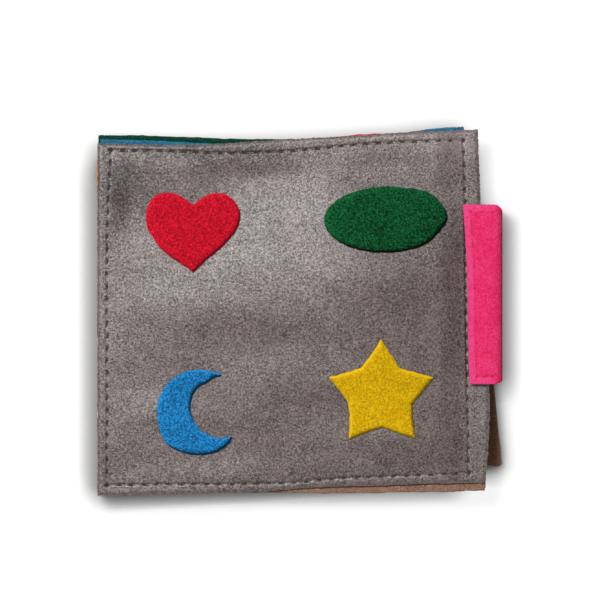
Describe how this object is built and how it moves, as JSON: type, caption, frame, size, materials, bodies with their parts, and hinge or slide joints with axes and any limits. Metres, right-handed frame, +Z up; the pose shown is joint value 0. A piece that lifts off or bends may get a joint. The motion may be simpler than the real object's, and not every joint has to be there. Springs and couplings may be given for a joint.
{
  "type": "quiet book",
  "caption": "Closed square felt activity book: sewn spine, stitched leaves, felt cut-outs on the front cover and a hook-and-loop strap round the fore-edge.",
  "frame": {"origin": "on the surface that the book lies on, below the middle of its bounding box", "axes": "+X from the spine to the fore-edge, +Y from the foot to the head, +Z up through the front cover"},
  "size_m": [0.166, 0.151, 0.0296],
  "materials": {
    "grey_felt": "matte wool-blend felt",
    "tan_felt": "matte wool-blend felt",
    "brown_felt": "matte wool-blend felt",
    "white_felt": "matte stiffened felt",
    "red_felt": "matte felt",
    "green_felt": "matte felt",
    "blue_felt": "matte felt",
    "yellow_felt": "matte felt",
    "orange_felt": "matte felt",
    "pink_felt": "matte felt",
    "hook_and_loop_tape": "woven nylon tape"
  },
  "bodies": {
    "back_cover": {"back_cover_felt": "grey_felt", "back_cover_interlining": "white_felt", "back_cover_lining": "brown_felt", "strap_sewn_end": "pink_felt", "leaf_1_lower_sheet_bound_edge": "blue_felt", "leaf_1_upper_sheet_bound_edge": "blue_felt", "leaf_2_lower_sheet_bound_edge": "green_felt", "leaf_2_upper_sheet_bound_edge": "green_felt", "leaf_3_lower_sheet_bound_edge": "red_felt", "leaf_3_upper_sheet_bound_edge": "red_felt", "leaf_4_lower_sheet_bound_edge": "orange_felt", "leaf_4_upper_sheet_bound_edge": "blue_felt", "front_cover_lining_bound_edge": "tan_felt", "front_cover_interlining_bound_edge": "white_felt", "front_cover_felt_bound_edge": "grey_felt"},
    "front_cover": {"front_cover_felt": "grey_felt", "front_cover_interlining": "white_felt", "front_cover_lining": "tan_felt", "heart": "red_felt", "oval": "green_felt", "crescent": "blue_felt", "star": "yellow_felt", "loop_tape": "hook_and_loop_tape"},
    "leaf_1": {"leaf_1_lower_sheet": "blue_felt", "leaf_1_upper_sheet": "blue_felt"},
    "leaf_2": {"leaf_2_lower_sheet": "green_felt", "leaf_2_upper_sheet": "green_felt"},
    "leaf_3": {"leaf_3_lower_sheet": "red_felt", "leaf_3_upper_sheet": "red_felt"},
    "leaf_4": {"leaf_4_lower_sheet": "orange_felt", "leaf_4_upper_sheet": "blue_felt"},
    "strap_side": {"strap_lower_bend": "pink_felt", "strap_side": "pink_felt"},
    "strap_flap": {"strap_upper_bend": "pink_felt", "strap_flap": "pink_felt", "hook_tape": "hook_and_loop_tape"}
  },
  "joints": [
    {"name": "front_cover_turn", "type": "hinge", "parent": "back_cover", "child": "front_cover", "pos_m": [-0.0775, 0, 0.0252], "axis": [0, -1, 0], "range_deg": [0, 180]},
    {"name": "leaf_1_turn", "type": "hinge", "parent": "back_cover", "child": "leaf_1", "pos_m": [-0.0775, 0, 0.0252], "axis": [0, -1, 0], "range_deg": [0, 180]},
    {"name": "leaf_2_turn", "type": "hinge", "parent": "back_cover", "child": "leaf_2", "pos_m": [-0.0775, 0, 0.0252], "axis": [0, -1, 0], "range_deg": [0, 180]},
    {"name": "leaf_3_turn", "type": "hinge", "parent": "back_cover", "child": "leaf_3", "pos_m": [-0.0775, 0, 0.0252], "axis": [0, -1, 0], "range_deg": [0, 180]},
    {"name": "leaf_4_turn", "type": "hinge", "parent": "back_cover", "child": "leaf_4", "pos_m": [-0.0775, 0, 0.0252], "axis": [0, -1, 0], "range_deg": [0, 180]},
    {"name": "strap_side_turn", "type": "hinge", "parent": "back_cover", "child": "strap_side", "pos_m": [0.07979, 0.00653, 0.0048], "axis": [0, 1, 0], "range_deg": [0, 90], "deforming": ["strap_lower_bend"]},
    {"name": "strap_flap_turn", "type": "hinge", "parent": "strap_side", "child": "strap_flap", "pos_m": [0.07979, 0.00653, 0.0245], "axis": [0, 1, 0], "range_deg": [0, 90], "deforming": ["strap_upper_bend"]}
  ],
  "couplings": [
    {"joint": "leaf_1_turn", "follows": "front_cover_turn", "ratio": 0.8},
    {"joint": "leaf_2_turn", "follows": "front_cover_turn", "ratio": 0.6},
    {"joint": "leaf_3_turn", "follows": "front_cover_turn", "ratio": 0.4},
    {"joint": "leaf_4_turn", "follows": "front_cover_turn", "ratio": 0.2}
  ]
}
